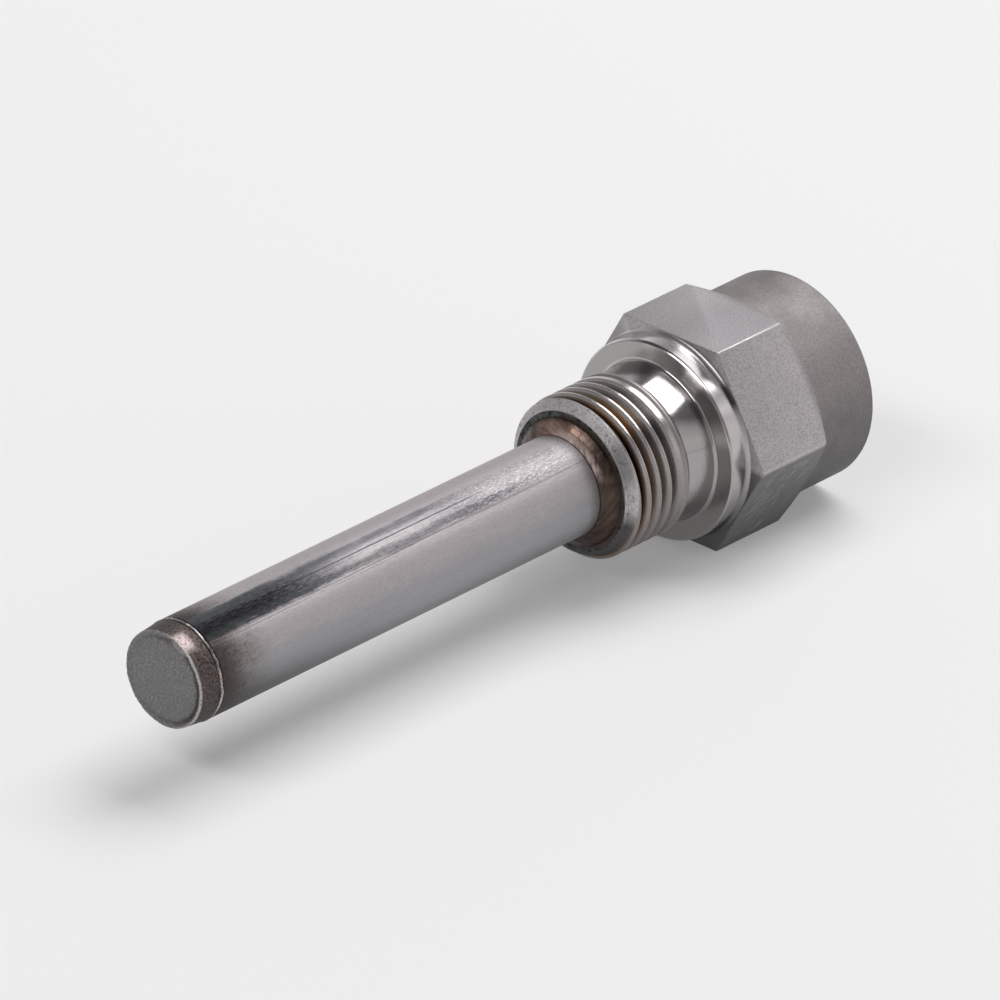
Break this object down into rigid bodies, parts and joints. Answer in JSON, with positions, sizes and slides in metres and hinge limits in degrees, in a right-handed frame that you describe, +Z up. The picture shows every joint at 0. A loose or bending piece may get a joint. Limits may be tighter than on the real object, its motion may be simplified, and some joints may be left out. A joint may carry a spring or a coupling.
{
  "type": "thermowell",
  "caption": "Closed steel protection tube welded into a hexagon fitting with a male process thread, a sealing collar and a threaded socket that takes a temperature sensor.",
  "frame": {"origin": "On the axis, in the plane of the sealing face of the collar.", "axes": "+X runs along the axis from the closed tip to the sensor's socket, +Z is up and square to a flat of the hexagon, +Y passes through a corner of the hexagon."},
  "size_m": [0.1094, 0.0312, 0.027],
  "materials": {
    "turned_steel": "turned bright on the neck and collar, fine-grained satin on the hexagon and head",
    "drawn_steel": "satin, streaked along its length, brown heat tint near the tip",
    "plug_steel": "dull grey face with a ragged bright lip, brown heat tint on its side",
    "seam_metal": "thin bright seam",
    "weld_metal": "rippled, heat-tinted brown"
  },
  "bodies": {
    "root": {"fitting": "turned_steel", "well_tube": "drawn_steel", "end_plug": "plug_steel", "tip_weld": "seam_metal", "root_weld": "weld_metal"}
  },
  "joints": []
}
